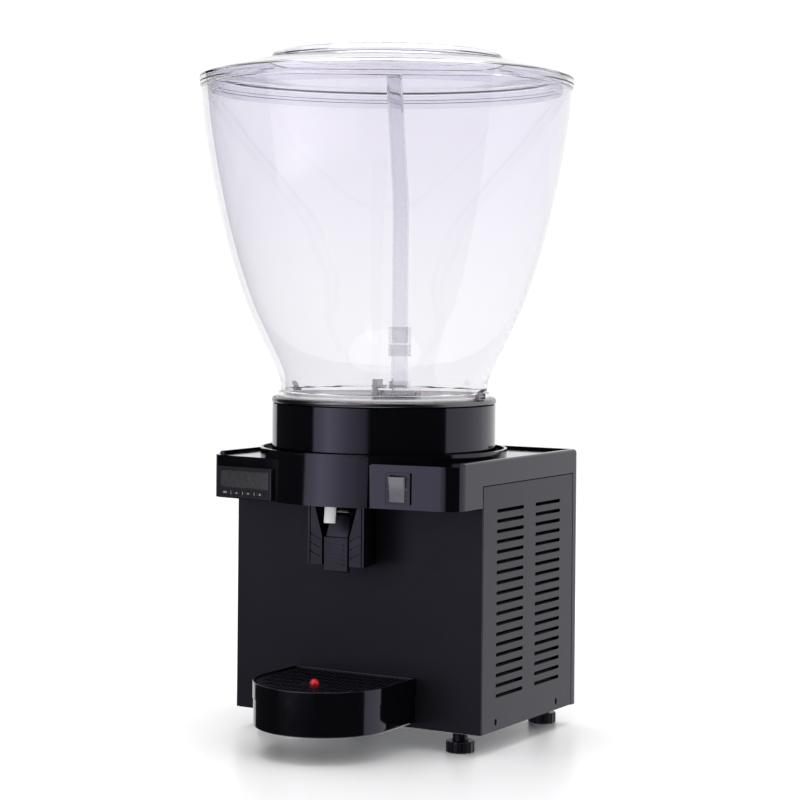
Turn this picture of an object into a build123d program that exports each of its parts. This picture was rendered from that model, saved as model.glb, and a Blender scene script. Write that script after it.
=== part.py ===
from build123d import *
import os
from math import atan2, cos, hypot, radians, sin, sqrt, tan

# Refrigerated single-bowl drink fountain for a counter. Millimetres.
# Origin on the counter under the bowl's axis, +Z up, the tap side faces -Y.
# +X is on the right seen from the front.

os.makedirs("parts", exist_ok=True)

# ---------------------------------------------------------------- driving dimensions
# Cabinet
HALF_WIDTH = 150.0          # cabinet sides at X = +-150
FRONT_Y = -54.0             # outer face of the front panel
BACK_Y = 166.0              # outer face of the back
BASE_Z = 22.0               # underside of the cabinet, on its feet
SHEET = 1.2                 # sheet metal of the panels
SEAM = 1.0                  # gap left round an inset panel

# Top cover
COVER_WALL = 2.5
COVER_TOP_Z = 301.0         # top of the raised edge along the sides and back
DECK_Z = 298.0              # floor of the shallow recess on top
DECK_UNDER_Z = 295.5
RIM_WIDTH = 6.0             # raised edge round the deck
SKIRT_Z = 275.6             # lower edge of the cover along the cabinet sides
FRONT_SKIRT_Z = 253.4       # lower edge of the part that overhangs the front
POST_DEPTH = 12.7           # the cover's rear corner posts, front to back
WING_FRONT_Y = -119.0       # where a front facet meets the central bulge
FACET_SWEEP = 6.5           # degrees, each facet leans back towards its outer end
BULGE_HALF = 54.0           # half width of the central bulge
BULGE_R_LOW = 134.0         # radius of the bulge about the bowl's axis at its lower edge
BULGE_R_TOP = 131.5
LIP_TOP_Z = 306.5
LIP_WIDTH = 3.0
WING_CORNER_R = 20.0
RIM_FRONT_Y = -90.0         # the raised edge stops here, behind the facets
REAR_CORNER_R = 6.0

# Collar and cold plate
COLLAR_R = 119.1
COLLAR_FOOT_Z = 300.2
COLLAR_TOP_Z = 353.0
PLATE_R = 119.5
PLATE_TOP_Z = 360.0
PLATE_SHEET = 1.5

# Bowl and lid
BOWL_WALL = 3.0
NECK_R = 110.0
NECK_FOOT_Z = 362.0
NECK_TOP_Z = 372.0
BOWL_RIM_Z = 692.5
# (outer radius, height) where the flare of the bowl passes
FLARE = [(114.3, 387.5), (144.7, 451.6), (166.1, 515.7), (181.3, 579.8), (192.6, 643.9), (197.6, 688.7)]
LID_R = 199.6
LID_SEAT_Z = 692.8
LID_RIM_Z = 700.2
LID_WALL = 2.4
PLUG_R = 188.4              # ring under the lid that drops inside the bowl
PLUG_FOOT_Z = 682.6
DISC_R = 123.6              # raised flat centre of the lid
LID_TOP_Z = 727.0

# Fountain: pump under the plate, nozzle tube above it
PUMP_X = 18.7
PUMP_R = 23.0
TUBE_R = 8.4
TUBE_WALL = 1.6
TUBE_TOP_Z = 703.0

# Tap
OUTLET_Y = -92.0            # where the outlet leaves the cold plate
SPOUT_Y = -107.0
SPOUT_TIP_Z = 234.0
SPOUT_R = 6.0
TAP_HALF = 34.0
TAP_FRONT_Y = -95.0
TAP_FOOT_Z = 189.0
TAP_TOP_Z = 252.9
PIVOT_Y = -78.0
PIVOT_Z = 243.0
PIVOT_R = 2.5
RUNNING_GAP = 0.06          # radial clearance of every pin that turns

# Drip tray
TRAY_HALF = 74.0
TRAY_BACK_Y = -54.4
TRAY_ARC_Y = -113.0         # centre of the half-round front
TRAY_FOOT_Z = 28.0
TRAY_TOP_Z = 74.0
TRAY_WALL = 2.5
GRID_Z = 70.0
FLOAT_Y = -133.0
FLOAT_BALL_R = 4.9

# Feet
FOOT_X = 116.0
FOOT_FRONT_Y = -35.0
FOOT_BACK_Y = 150.0
FOOT_R = 15.2
FOOT_BASE_H = 12.0

# Refrigeration
COMPRESSOR = (-72.0, 72.0)
COMPRESSOR_R = 54.0
FAN_AXIS = (60.0, 52.0, 112.0)
CONDENSER_X = (92.0, 128.0)
CONDENSER_Y = (-22.0, 126.0)
CONDENSER_Z = (46.0, 196.0)


# ---------------------------------------------------------------- helpers
def span_box(x, y, z):
    """Box between three (low, high) pairs."""
    middle = Pos((x[0] + x[1]) / 2, (y[0] + y[1]) / 2, (z[0] + z[1]) / 2)
    return middle * Box(x[1] - x[0], y[1] - y[0], z[1] - z[0])


def drum(radius, z0, z1, x=0.0, y=0.0):
    return Pos(x, y, (z0 + z1) / 2) * Cylinder(radius, z1 - z0)


def ring(outer, inner, z0, z1, x=0.0, y=0.0):
    return drum(outer, z0, z1, x, y) - drum(inner, z0 - 1, z1 + 1, x, y)


def rod_x(radius, x0, x1, y, z):
    return Pos((x0 + x1) / 2, y, z) * Rot(0, 90, 0) * Cylinder(radius, x1 - x0)


def rod_y(radius, x, y0, y1, z):
    return Pos(x, (y0 + y1) / 2, z) * Rot(90, 0, 0) * Cylinder(radius, y1 - y0)


def turned(*edges):
    """Solid of revolution about Z from edges drawn as (radius, height)."""
    return revolve(Plane.XZ * make_face(Wire(list(edges))), Axis.Z)


def turned_polygon(*points):
    return revolve(Plane.XZ * make_face(Polyline(*points, close=True)), Axis.Z)


def prism(face, z0, z1):
    return Pos(0, 0, z0) * extrude(face, z1 - z0)


def slab_front(face, y0, y1):
    """Extrude a face drawn as (x, z) from y0 back to y1."""
    return Pos(0, y1, 0) * extrude(Plane.XZ * face, y1 - y0)


def swept_tube(path, radius, wall):
    """Hollow tube along a path."""
    start = Plane(origin=path @ 0, z_dir=path % 0)
    outer = sweep(start * Circle(radius), path)
    inner = sweep(start * Circle(radius - wall), path)
    return outer - inner


def swept_rod(path, radius):
    return sweep(Plane(origin=path @ 0, z_dir=path % 0) * Circle(radius), path)


def save(name, *solids):
    """Write one node; several solids are kept apart in a group."""
    loose = [solid for shape in solids for solid in shape.solids()]
    shape = loose[0] if len(loose) == 1 else Compound(children=loose)
    shape.label = name
    export_step(shape, f"parts/{name}.step")


# ---------------------------------------------------------------- sheet metal cabinet
def make_base_pan():
    """Folded tray that carries the feet and the cooling unit."""
    lip = 14.0
    x = HALF_WIDTH - COVER_WALL - 0.4
    y0, y1 = FRONT_Y + SHEET + 0.2, BACK_Y - COVER_WALL - 4.2
    outer = span_box((-x, x), (y0, y1), (BASE_Z, BASE_Z + lip))
    inner = span_box((-x + 1.5, x - 1.5), (y0 + 1.5, y1 - 1.5), (BASE_Z + 1.5, BASE_Z + lip + 1))
    pan = outer - inner
    stud_hole_r = 4.2
    for foot_x, foot_y in foot_places():
        pan -= drum(stud_hole_r, BASE_Z - 1, BASE_Z + 3, foot_x, foot_y)
    vent_x, vent_y = 9.0, 2.0
    for column in range(-5, 6):
        for row in range(4):
            slot = SlotCenterToCenter(vent_x, 2 * vent_y)
            pan -= prism(Pos(column * 16.0, 10.0 + row * 30.0) * slot, BASE_Z - 1, BASE_Z + 3)
    save("base_pan", pan)


def make_front_panel():
    """Flat satin front with folded edges, cut away behind the tap outlet."""
    top_z = 262.0
    z = (BASE_Z + 0.6, top_z)
    x = HALF_WIDTH - 0.2
    panel = span_box((-x, x), (FRONT_Y, FRONT_Y + SHEET), z)
    fold = 11.0
    for side in (-1, 1):
        fold_x = sorted((side * (x - SHEET - 2.0), side * (x - 2 * SHEET - 2.0)))
        panel += span_box(fold_x, (FRONT_Y, FRONT_Y + fold), (z[0] + 18, z[1]))
    outlet_notch = span_box((-14, 14), (FRONT_Y - 1, FRONT_Y + 2), (236, top_z + 1))
    save("front_panel", panel - outlet_notch)


LOUVRE_ROWS = 19
LOUVRE_PITCH = 10.55
LOUVRE_TOP_Z = 248.0
LOUVRE_HEIGHT = 3.8
LOUVRE_COLUMNS = [(-22.6, 37.3), (64.0, 122.0)]     # front and rear column, along Y
HOOK_SLOTS_Y = (-22.0, 116.0)


def louvre_hood(face_x, row_z):
    """Profile of the flap pressed in from the top edge of a slot, drawn as (x, z)."""
    root_x = face_x - SHEET + 0.4
    tip_x = face_x - 5.2
    top_z = row_z + LOUVRE_HEIGHT / 2
    return make_face(Polyline(
        (root_x, top_z + 1.1), (tip_x, top_z - 2.7), (tip_x, top_z - 3.7), (root_x, top_z), close=True,
    ))


def make_side_panel(name, side):
    """Inset side panel with two columns of louvres pressed inwards."""
    y = (FRONT_Y + SHEET + SEAM, BACK_Y - POST_DEPTH - SEAM)
    z = (BASE_Z + 0.6, SKIRT_Z - SEAM)
    face_x = HALF_WIDTH - 0.2
    slots = []
    hoods = []
    for row in range(LOUVRE_ROWS):
        row_z = LOUVRE_TOP_Z - row * LOUVRE_PITCH
        for y0, y1 in LOUVRE_COLUMNS:
            outline = SlotOverall(y1 - y0, LOUVRE_HEIGHT)
            slots.append(Pos(face_x, (y0 + y1) / 2, row_z) * extrude(Plane.YZ * outline, 4, both=True))
            hoods.append(slab_front(louvre_hood(face_x, row_z), y0 - 1.0, y1 + 1.0))
    for hook_y in HOOK_SLOTS_Y:
        outline = Rot(0, 0, 90) * SlotOverall(7.0, 4.6)
        slots.append(Pos(face_x, hook_y, 31.5) * extrude(Plane.YZ * outline, 4, both=True))
    panel = span_box((face_x - SHEET, face_x), y, z) - slots + hoods
    if side < 0:
        panel = mirror(panel, Plane.YZ)
    save(name, panel)


REAR_SCREWS = [(x, z) for x in (-141.0, 141.0) for z in (44.0, 150.0, 262.0)]
GLAND_X, GLAND_Z, GLAND_R = -98.0, 58.0, 7.0


def make_rear_panel():
    """Removable back sheet with air slots, between the rear posts."""
    x = HALF_WIDTH - COVER_WALL - 4.0
    y = (BACK_Y - COVER_WALL - SHEET - 0.1, BACK_Y - COVER_WALL - 0.1)
    panel = span_box((-x, x), y, (BASE_Z + 14.6, SKIRT_Z - SEAM))
    slots = []
    for row in range(14):
        for column in (-62.0, 0.0, 62.0):
            outline = Pos(column, 240.0 - row * 12.0) * SlotOverall(48, 4)
            slots.append(Pos(0, y[1], 0) * extrude(Plane.XZ * outline, 4, both=True))
    holes = [rod_y(1.8, sx, y[0] - 1, y[1] + 1, sz) for sx, sz in REAR_SCREWS]
    gland_hole = rod_y(GLAND_R, GLAND_X, y[0] - 1, y[1] + 1, GLAND_Z)
    save("rear_panel", panel - slots - holes - gland_hole)

    screws = []
    for sx, sz in REAR_SCREWS:
        shank = rod_y(1.7, sx, y[0] - 6, BACK_Y, sz)
        head = rod_y(3.6, sx, BACK_Y, BACK_Y + 1.8, sz)
        cross = [Pos(sx, BACK_Y + 1.6, sz) * Rot(0, turn, 0) * Box(3.6, 1.2, 0.8) for turn in (0, 90)]
        screws.append(shank + head - cross)
    save("rear_screws", *screws)

    flange = rod_y(GLAND_R + 4, GLAND_X, y[1], y[1] + 2, GLAND_Z)
    barrel = rod_y(GLAND_R - 0.1, GLAND_X, y[0] - 8, y[1] + 1, GLAND_Z)
    nut = Pos(GLAND_X, y[0], GLAND_Z) * extrude(Plane.XZ * RegularPolygon(GLAND_R + 3, 6), 5)
    bore = rod_y(3.8, GLAND_X, y[0] - 20, y[1] + 20, GLAND_Z)
    save("cable_gland", flange + barrel + nut - bore)


# ---------------------------------------------------------------- top cover
def cover_outline():
    """Plan of the cover without its central bulge."""
    corner_y = WING_FRONT_Y + (HALF_WIDTH - BULGE_HALF) * tan(radians(FACET_SWEEP))
    points = [
        (-BULGE_HALF, WING_FRONT_Y),
        (BULGE_HALF, WING_FRONT_Y),
        (HALF_WIDTH, corner_y),
        (HALF_WIDTH, BACK_Y),
        (-HALF_WIDTH, BACK_Y),
        (-HALF_WIDTH, corner_y),
    ]
    face = make_face(Polyline(*points, close=True))
    wing_corners = [v for v in face.vertices() if abs(v.X) > HALF_WIDTH - 1 and v.Y < 0]
    face = fillet(wing_corners, WING_CORNER_R)
    rear_corners = [v for v in face.vertices() if abs(v.X) > HALF_WIDTH - 1 and v.Y > BACK_Y - 1]
    return fillet(rear_corners, REAR_CORNER_R)


def bulge(shrink, top_z):
    """Cone-sided sector over the tap, concentric with the bowl."""
    low_z = FRONT_SKIRT_Z - (1.0 if shrink else 0.0)
    body = turned_polygon(
        (0, low_z), (BULGE_R_LOW - shrink, low_z), (BULGE_R_TOP - shrink, top_z), (0, top_z)
    )
    if not shrink:
        top_edge = body.edges().filter_by(GeomType.CIRCLE).sort_by(Axis.Z)[-1]
        body = fillet(top_edge, 2.0)
    half = BULGE_HALF - shrink
    return body & span_box((-half, half), (-160, WING_FRONT_Y + 12 + 4 * shrink), (0, 400))


def cover_cavity(outline):
    """Space under the deck, inside the walls."""
    inner = offset(outline, -COVER_WALL, kind=Kind.INTERSECTION)
    return prism(inner, 0, DECK_UNDER_Z)


def make_top_cover():
    """One moulding: deck, side bands, overhanging front and two rear corner posts."""
    outline = cover_outline()
    cover = prism(outline, BASE_Z, COVER_TOP_Z)
    cover = fillet(cover.faces().sort_by(Axis.Z)[-1].edges(), 4.0)
    far = HALF_WIDTH + 20
    window_y = BACK_Y - POST_DEPTH
    cover -= span_box((-far, far), (FRONT_Y, window_y), (0, SKIRT_Z))
    cover -= span_box((-far, far), (-200, FRONT_Y), (0, FRONT_SKIRT_Z))
    post_x = HALF_WIDTH - POST_DEPTH
    cover -= span_box((-post_x, post_x), (window_y - 1, BACK_Y + 1), (0, SKIRT_Z))
    recess = offset(outline, -RIM_WIDTH, kind=Kind.INTERSECTION)
    cover -= prism(recess, DECK_Z, COVER_TOP_Z + 1)
    cover -= span_box((-far, far), (-200, RIM_FRONT_Y), (DECK_Z, COVER_TOP_Z + 1))
    cover += bulge(0.0, LIP_TOP_Z)
    cover += drum(BULGE_R_TOP, DECK_Z - 1, LIP_TOP_Z)
    cover -= drum(BULGE_R_TOP - LIP_WIDTH, COLLAR_FOOT_Z, LIP_TOP_Z + 1)
    cover -= drum(COLLAR_R - 7, DECK_UNDER_Z - 1, LIP_TOP_Z + 1)
    cover -= cover_cavity(outline)
    cover -= bulge(COVER_WALL, DECK_UNDER_Z)
    cover -= controller_cutout()
    cover -= switch_cutout()
    cover -= [rod_y(1.8, x, BACK_Y - 8, BACK_Y + 2, z) for x, z in REAR_SCREWS]
    save("top_cover", cover)


def facet_frame(side, along, z):
    """Plane on a front facet: its x runs to the right along the facet, its y runs up, its z points out."""
    sweep_angle = radians(FACET_SWEEP)
    x = side * (BULGE_HALF + along * cos(sweep_angle))
    y = WING_FRONT_Y + along * sin(sweep_angle)
    right = (cos(sweep_angle), side * sin(sweep_angle), 0)
    outward = (side * sin(sweep_angle), -cos(sweep_angle), 0)
    return Plane(origin=(x, y, z), x_dir=right, z_dir=outward)


CONTROLLER_W, CONTROLLER_H = 74.0, 32.4
CONTROLLER_BODY_W, CONTROLLER_BODY_H = 68.0, 27.6
CONTROLLER_PLACE = facet_frame(-1, 45.0, 270.8)
SWITCH_W, SWITCH_H = 27.0, 32.0
SWITCH_BODY_W, SWITCH_BODY_H = 21.6, 28.0
SWITCH_PLACE = facet_frame(1, 32.8, 274.4)


def plate_on(plane, width, height, low, high):
    """Block on a facet from low to high along its outward normal."""
    return plane * Pos(0, 0, (low + high) / 2) * Box(width, height, high - low)


def controller_cutout():
    return plate_on(CONTROLLER_PLACE, CONTROLLER_BODY_W + 0.6, CONTROLLER_BODY_H + 0.6, -6, 6)


def switch_cutout():
    return plate_on(SWITCH_PLACE, SWITCH_BODY_W + 0.4, SWITCH_BODY_H + 0.4, -6, 6)


# ---------------------------------------------------------------- controller and switch
KEY_W, KEY_H = 11.0, 4.2
KEY_ROW_Y = -11.0
KEY_OFFSETS = (-26.0, -10.0, 6.0, 22.0)
WINDOW_W, WINDOW_H = 66.0, 18.0
WINDOW_Y = 3.2


def make_controller():
    """Snap-in temperature controller: bezel and case, tinted window, three digits, four keys."""
    bezel = plate_on(CONTROLLER_PLACE, CONTROLLER_W, CONTROLLER_H, 0.05, 4.0)
    bezel = fillet(bezel.faces().sort_by(Axis.Y)[0].edges(), 1.2)
    case = plate_on(CONTROLLER_PLACE, CONTROLLER_BODY_W, CONTROLLER_BODY_H, -46, 1.0)
    housing = bezel + case
    housing -= CONTROLLER_PLACE * Pos(0, WINDOW_Y, 3.0) * Box(WINDOW_W, WINDOW_H, 4.0)
    for offset_x in KEY_OFFSETS:
        hole = Pos(offset_x, KEY_ROW_Y, 3.0) * Box(KEY_W, KEY_H, 4.0)
        housing -= CONTROLLER_PLACE * hole
    save("controller_housing", housing)

    window = CONTROLLER_PLACE * Pos(0, WINDOW_Y, 3.0) * Box(WINDOW_W - 0.2, WINDOW_H - 0.2, 1.2)
    save("controller_window", window)
    save("controller_digits", *[CONTROLLER_PLACE * bar for bar in seven_segment_bars()])

    for number, offset_x in enumerate(KEY_OFFSETS, start=1):
        key = Pos(offset_x, KEY_ROW_Y, 3.2) * Box(KEY_W - 0.5, KEY_H - 0.5, 2.2)
        key = fillet(key.edges().filter_by(Axis.Z), 0.8)
        save(f"controller_key_{number}", CONTROLLER_PLACE * key)


def seven_segment_bars():
    """Bars of three digits behind the window, 14 mm high."""
    digit_w, digit_h, bar = 7.4, 12.6, 1.3
    bars = []
    for digit in range(3):
        left = -11.4 + digit * 11.4
        for level in (-1, 0, 1):
            place = Pos(left, WINDOW_Y + level * digit_h / 2, 1.7)
            bars.append(place * Box(digit_w - bar - 0.6, bar, 0.8))
        for side in (-1, 1):
            for level in (-1, 1):
                place = Pos(left + side * digit_w / 2, WINDOW_Y + level * digit_h / 4, 1.7)
                bars.append(place * Box(bar, digit_h / 2 - bar - 0.6, 0.8))
    return bars


ROCKER_W, ROCKER_H = 16.4, 25.6
ROCKER_TILT = 9.0
ROCKER_PIVOT = 1.5          # height of the rocker's axis over the facet


def rocker_shape():
    """Rocker cap, concave in profile, swept across its width, drawn level about its pivot."""
    half = ROCKER_H / 2
    front = ThreePointArc((-half, 4.4), (0, 3.0), (half, 4.4))
    sides = Polyline((half, 4.4), (half - 1.2, -3.0), (-half + 1.2, -3.0), (-half, 4.4))
    profile = make_face(Wire([front, *sides.edges()]))
    cap = extrude(Plane.YZ * profile, ROCKER_W / 2, both=True)
    return cap


def make_switch():
    """Snap-in mains switch with a light rocker."""
    bezel = plate_on(SWITCH_PLACE, SWITCH_W, SWITCH_H, 0.05, 2.6)
    bezel = fillet(bezel.faces().sort_by(Axis.Y)[0].edges(), 1.0)
    body = plate_on(SWITCH_PLACE, SWITCH_BODY_W, SWITCH_BODY_H, -22, 1.0)
    lugs = [SWITCH_PLACE * Pos(0, lug_y, -26) * Box(6.3, 0.8, 9) for lug_y in (-8, 0, 8)]
    well = SWITCH_PLACE * Pos(0, 0, 2) * Box(ROCKER_W + 0.8, ROCKER_H + 1.6, 12)
    pin_hole = SWITCH_PLACE * Pos(0, 0, ROCKER_PIVOT) * Rot(0, 90, 0) * Cylinder(1.2, SWITCH_BODY_W - 1)
    save("switch_housing", bezel + body + lugs - well - pin_hole)

    rocker = rocker_shape()
    pins = Rot(0, 90, 0) * Cylinder(1.2 - RUNNING_GAP, SWITCH_BODY_W - 1.6)
    tilted = Pos(0, 0, ROCKER_PIVOT) * Rot(ROCKER_TILT, 0, 0) * (rocker + pins)
    save("switch_rocker", SWITCH_PLACE * tilted)


# ---------------------------------------------------------------- collar, insulation and cold plate
def make_collar():
    """Round black collar with a foot flange and an inner ledge."""
    collar = ring(COLLAR_R, COLLAR_R - 3, COLLAR_FOOT_Z, COLLAR_TOP_Z - 0.1)
    collar += ring(COLLAR_R - 2, COLLAR_R - 10, COLLAR_FOOT_Z, COLLAR_FOOT_Z + 3)
    save("collar", collar)


def make_insulation():
    """Foam under the cold plate, open round the pump drive, the outlet and the suction line."""
    foam = drum(COLLAR_R - 3.3, COLLAR_FOOT_Z + 3.2, 344.0)
    foam += drum(COLLAR_R - 10.5, 291.0, COLLAR_FOOT_Z + 3.3)
    foam -= drum(34.0, 280, 360, PUMP_X)
    foam -= prism(Pos(0, OUTLET_Y - 3) * Rot(0, 0, 90) * SlotCenterToCenter(6, 18), 280, 360)
    foam -= drum(4.0, 280, 360, *COIL_END)
    save("insulation", foam)


def make_cold_plate():
    """Stainless plate with a rolled edge: the chilled floor of the bowl."""
    edge_r = 3.4
    rim = ring(PLATE_R, PLATE_R - 8, COLLAR_TOP_Z, PLATE_TOP_Z)
    outer_edges = rim.edges().filter_by(GeomType.CIRCLE).filter_by(lambda e: e.radius > PLATE_R - 0.1)
    rim = fillet(outer_edges, edge_r)
    plate = rim + drum(PLATE_R - 4, PLATE_TOP_Z - PLATE_SHEET, PLATE_TOP_Z)
    plate -= drum(SPOUT_R - 1.4, 340, 370, 0, OUTLET_Y)
    save("cold_plate", plate)


COIL_TUBE_R = 3.6
COIL_Y = 14.0               # middle of the coil, clear of the outlet at the front
COIL_FIRST_R = 46.0
COIL_PITCH = 9.0
COIL_HALF_TURNS = 10
COIL_Z = PLATE_TOP_Z - PLATE_SHEET - COIL_TUBE_R - 0.1
COIL_START = (COIL_FIRST_R - COIL_PITCH / 4, COIL_Y)
COIL_END = (COIL_FIRST_R + (COIL_HALF_TURNS - 1) * COIL_PITCH / 2 + COIL_PITCH / 4, COIL_Y)


def make_evaporator():
    """Flat copper spiral of growing half circles, pressed against the underside of the cold plate."""
    arcs = []
    for step in range(COIL_HALF_TURNS):
        centre_x = (COIL_PITCH / 4) * (1 if step % 2 else -1)
        arc = CenterArc((centre_x, 0), COIL_FIRST_R + step * COIL_PITCH / 2, 180 * (step % 2), 180)
        arcs.append(Pos(0, COIL_Y, COIL_Z) * arc)
    save("evaporator_coil", swept_rod(Wire(arcs), COIL_TUBE_R))


# ---------------------------------------------------------------- bowl and lid
def bowl_side(shift):
    """Flare of the bowl from the neck to the rim, moved in by shift."""
    points = [(NECK_R - shift, NECK_TOP_Z)] + [(radius - shift, z) for radius, z in FLARE]
    return Spline(*points, tangents=[(0, 1), (0.08, 1)])


def make_bowl():
    """Clear open-ended bowl: flanged neck, flare, thick rim."""
    flare_r, flare_z = FLARE[-1]
    outer = bowl_side(0.0)
    inner = bowl_side(BOWL_WALL)
    in_r = NECK_R - BOWL_WALL
    foot = Polyline(
        (in_r, NECK_TOP_Z), (in_r, NECK_FOOT_Z), (NECK_R + 2.4, NECK_FOOT_Z), (NECK_R + 2.4, NECK_FOOT_Z + 3.4),
        (NECK_R, NECK_FOOT_Z + 4.6), (NECK_R, NECK_TOP_Z),
    )
    rim = Polyline(
        (flare_r, flare_z), (flare_r + 1.4, flare_z + 0.8), (flare_r + 1.4, BOWL_RIM_Z),
        (flare_r - BOWL_WALL, BOWL_RIM_Z), (flare_r - BOWL_WALL, flare_z),
    )
    bowl = turned(outer, *rim.edges(), inner, *foot.edges())
    save("bowl", bowl)


def make_gasket():
    gasket = ring(NECK_R + 2.8, NECK_R - 4.0, PLATE_TOP_Z, NECK_FOOT_Z - 0.05)
    save("bowl_gasket", gasket)


def make_lid():
    """Clear lid: rim bead, sloping shoulder, raised centre disc and a plug ring inside the bowl."""
    shoulder = (DISC_R + 3.5, 717.4)
    shoulder_under = (DISC_R + 2.5, 715.0)
    slope_top = (LID_R - 1.2, LID_RIM_Z)
    slope_under = (PLUG_R - LID_WALL, 700.8)
    disc_edge = (DISC_R, 721.6)
    crown = (DISC_R - 6.5, 725.6)
    rim_in = LID_R - 6.0
    outline = [
        *Polyline((LID_R, LID_SEAT_Z), (LID_R, LID_RIM_Z - 1.2), slope_top).edges(),
        ThreePointArc(slope_top, (165.0, 709.6), shoulder),
        Line(shoulder, disc_edge),
        ThreePointArc(disc_edge, (DISC_R - 2.6, 724.6), crown),
        *Polyline(
            crown, (0, LID_TOP_Z), (0, LID_TOP_Z - LID_WALL), (DISC_R - 7.0, 723.2), (DISC_R - 3.0, 720.4),
            shoulder_under,
        ).edges(),
        ThreePointArc(shoulder_under, (164.0, 707.3), slope_under),
        *Polyline(
            slope_under, (PLUG_R - LID_WALL, PLUG_FOOT_Z), (PLUG_R, PLUG_FOOT_Z), (PLUG_R, 697.2),
            (rim_in, 696.6), (rim_in, LID_SEAT_Z), (LID_R, LID_SEAT_Z),
        ).edges(),
    ]
    save("lid", turned(*outline))


LATCH_R = 116.8             # radius of the latch pins
LATCH_Z = 363.6


def make_latches():
    """Two spring-steel toggle latches that press on the edge of the bowl's neck."""
    bases = []
    pins = []
    for side, name in ((-1, "left"), (1, "right")):
        cheek = [span_box((114.4, 119.2), (y - 1, y + 1), (PLATE_TOP_Z, 366.2)) for y in (-6.0, 6.0)]
        foot = span_box((114.4, 119.2), (-7, 7), (PLATE_TOP_Z, PLATE_TOP_Z + 1.0))
        hole = rod_y(1.1, LATCH_R, -9, 9, LATCH_Z)
        base = foot + cheek - hole
        pin = rod_y(1.05, LATCH_R, -8, 8, LATCH_Z)
        hub = rod_y(2.1, LATCH_R, -4.6, 4.6, LATCH_Z)
        toe = span_box((113.0, LATCH_R), (-4.6, 4.6), (LATCH_Z + 0.4, LATCH_Z + 2.0))
        arm = span_box((LATCH_R - 1.0, LATCH_R + 1.0), (-4.6, 4.6), (LATCH_Z, 368.4))
        thumb = Pos(LATCH_R + 1.9, 0, 369.4) * Rot(0, -35, 0) * Box(7.4, 9.2, 1.4)
        lever = hub + toe + arm + thumb - rod_y(1.05 + RUNNING_GAP, LATCH_R, -9, 9, LATCH_Z)
        if side < 0:
            base, pin, lever = (mirror(part, Plane.YZ) for part in (base, pin, lever))
        bases.append(base)
        pins.append(pin)
        save(f"latch_lever_{name}", lever)
    save("latch_bases", *bases)
    save("latch_pins", *pins)


# ---------------------------------------------------------------- fountain pump and tube
PUMP_FOOT_Z = PLATE_TOP_Z
PUMP_TOP_Z = PLATE_TOP_Z + 10.0
LOWER_TUBE_R = 8.9
SLEEVE_Z = (404.0, 435.0)


def make_pump():
    """Magnetically driven pump on the cold plate and its motor below."""
    housing = drum(PUMP_R, PUMP_FOOT_Z, PUMP_TOP_Z, PUMP_X)
    housing += drum(LOWER_TUBE_R + 2.6, PUMP_TOP_Z - 1, PUMP_TOP_Z + 7, PUMP_X)
    housing -= drum(PUMP_R - 2.2, PUMP_FOOT_Z + 0.0, PUMP_TOP_Z - 2.0, PUMP_X)
    housing -= drum(LOWER_TUBE_R + 0.05, PUMP_TOP_Z - 0.4, PUMP_TOP_Z + 9, PUMP_X)
    housing -= drum(6.0, PUMP_TOP_Z - 3, PUMP_TOP_Z + 9, PUMP_X)
    inlets = 8
    for number in range(inlets):
        inlet = Rot(0, 0, number * 360 / inlets) * Pos(PUMP_R, 0, PUMP_FOOT_Z + 3.4) * Box(10, 6, 3.2)
        housing -= Pos(PUMP_X, 0, 0) * inlet
    save("pump_housing", housing)

    clip = span_box((-11.4, -5.2), (-6.8, 6.8), (PLATE_TOP_Z, 378.6))
    clip = fillet(clip.edges().filter_by(Axis.Z), 1.6)
    clip += span_box((-11.4, -1.0), (-6.8, 6.8), (PUMP_TOP_Z + 0.3, PUMP_TOP_Z + 2.3))
    save("pump_clip", clip)

    hub_z = (PUMP_FOOT_Z + 0.5, PUMP_TOP_Z - 2.6)
    impeller = drum(18.0, hub_z[0], hub_z[0] + 2.6, PUMP_X) + drum(4.0, *hub_z, PUMP_X)
    vanes = 6
    for number in range(vanes):
        blade = Pos(10.5, 0, (hub_z[0] + hub_z[1]) / 2) * Rot(0, 0, 25) * Box(13, 1.4, hub_z[1] - hub_z[0])
        impeller += Pos(PUMP_X, 0, 0) * Rot(0, 0, number * 360 / vanes) * blade
    save("pump_impeller", impeller)

    magnet = drum(17.0, 348.5, 356.5, PUMP_X) + drum(4.0, 336.3, 349, PUMP_X) - drum(2.0, 336, 344, PUMP_X)
    save("drive_magnet", magnet)
    motor = drum(24.5, 298.0, 335.0, PUMP_X)
    motor = fillet(motor.edges().filter_by(GeomType.CIRCLE), 3.0)
    motor += drum(7.0, 292.0, 299.0, PUMP_X)
    motor += drum(2.0 - RUNNING_GAP, 334.0, 343.5, PUMP_X)
    save("pump_motor", motor)


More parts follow.
